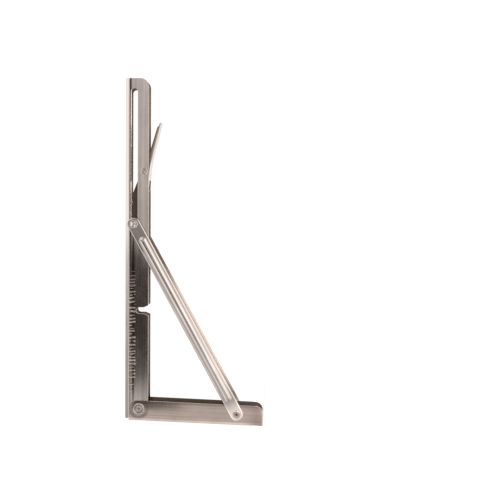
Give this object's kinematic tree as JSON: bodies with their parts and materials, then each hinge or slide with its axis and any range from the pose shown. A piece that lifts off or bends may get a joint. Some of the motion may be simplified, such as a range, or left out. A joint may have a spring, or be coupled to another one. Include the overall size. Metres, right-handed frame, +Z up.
{
  "type": "folding shelf bracket",
  "caption": "Steel shelf bracket whose slotted arm folds down flat against its wall channel on ribbed side struts, held open by a spring lever.",
  "frame": {"origin": "on the wall face, in the middle plane, level with the arm's hinge", "axes": "+X out from the wall, +Z up, Y across the bracket; the arm is open"},
  "size_m": [0.3016, 0.045, 0.1347],
  "materials": {
    "sheet_steel": "satin brushed",
    "lever_steel": "satin, bright along the folds",
    "rivet_steel": "smooth, formed heads",
    "spacer_steel": "turned",
    "spring_steel": "drawn wire",
    "washer_plastic": "matte"
  },
  "bodies": {
    "wall_plate": {"wall_plate": "sheet_steel", "hinge_pin": "rivet_steel", "hinge_washer_front": "washer_plastic", "hinge_washer_back": "washer_plastic", "foot_pin": "rivet_steel"},
    "arm": {"arm": "sheet_steel", "lever_pin": "rivet_steel", "lever_spacer_front": "spacer_steel", "lever_spacer_back": "spacer_steel", "lever_spring": "spring_steel"},
    "slider": {"slide_rivet_front": "rivet_steel", "slide_rivet_back": "rivet_steel", "slide_spacer_front": "spacer_steel", "slide_spacer_back": "spacer_steel"},
    "struts": {"strut_front": "sheet_steel", "strut_back": "sheet_steel", "foot_rivet_front": "rivet_steel", "foot_rivet_back": "rivet_steel"},
    "lever": {"release_lever": "lever_steel"}
  },
  "joints": [
    {"name": "arm_fold", "type": "hinge", "parent": "wall_plate", "child": "arm", "pos_m": [0.0105, 0, 0], "axis": [0, 1, 0], "range_deg": [0, 92.5]},
    {"name": "pin_slide", "type": "slide", "parent": "arm", "child": "slider", "axis": [0.999, 0, 0.0436], "range_m": [0, 0.11431]},
    {"name": "strut_swing", "type": "hinge", "parent": "slider", "child": "struts", "pos_m": [0.17315, 0, 0.01181], "axis": [0, 1, 0], "range_deg": [0, 27.04]},
    {"name": "lever_press", "type": "hinge", "parent": "arm", "child": "lever", "pos_m": [0.21987, 0, 0.00514], "axis": [0, -1, 0], "range_deg": [0, 13.5], "stiffness_Nm_per_rad": 0.15, "springref_deg": -11.46, "deforming": ["lever_spring"]}
  ],
  "couplings": [
    {"joint": "pin_slide", "follows": "arm_fold", "m_per_rad": 0.070746},
    {"joint": "strut_swing", "follows": "arm_fold", "ratio": 0.29128}
  ]
}
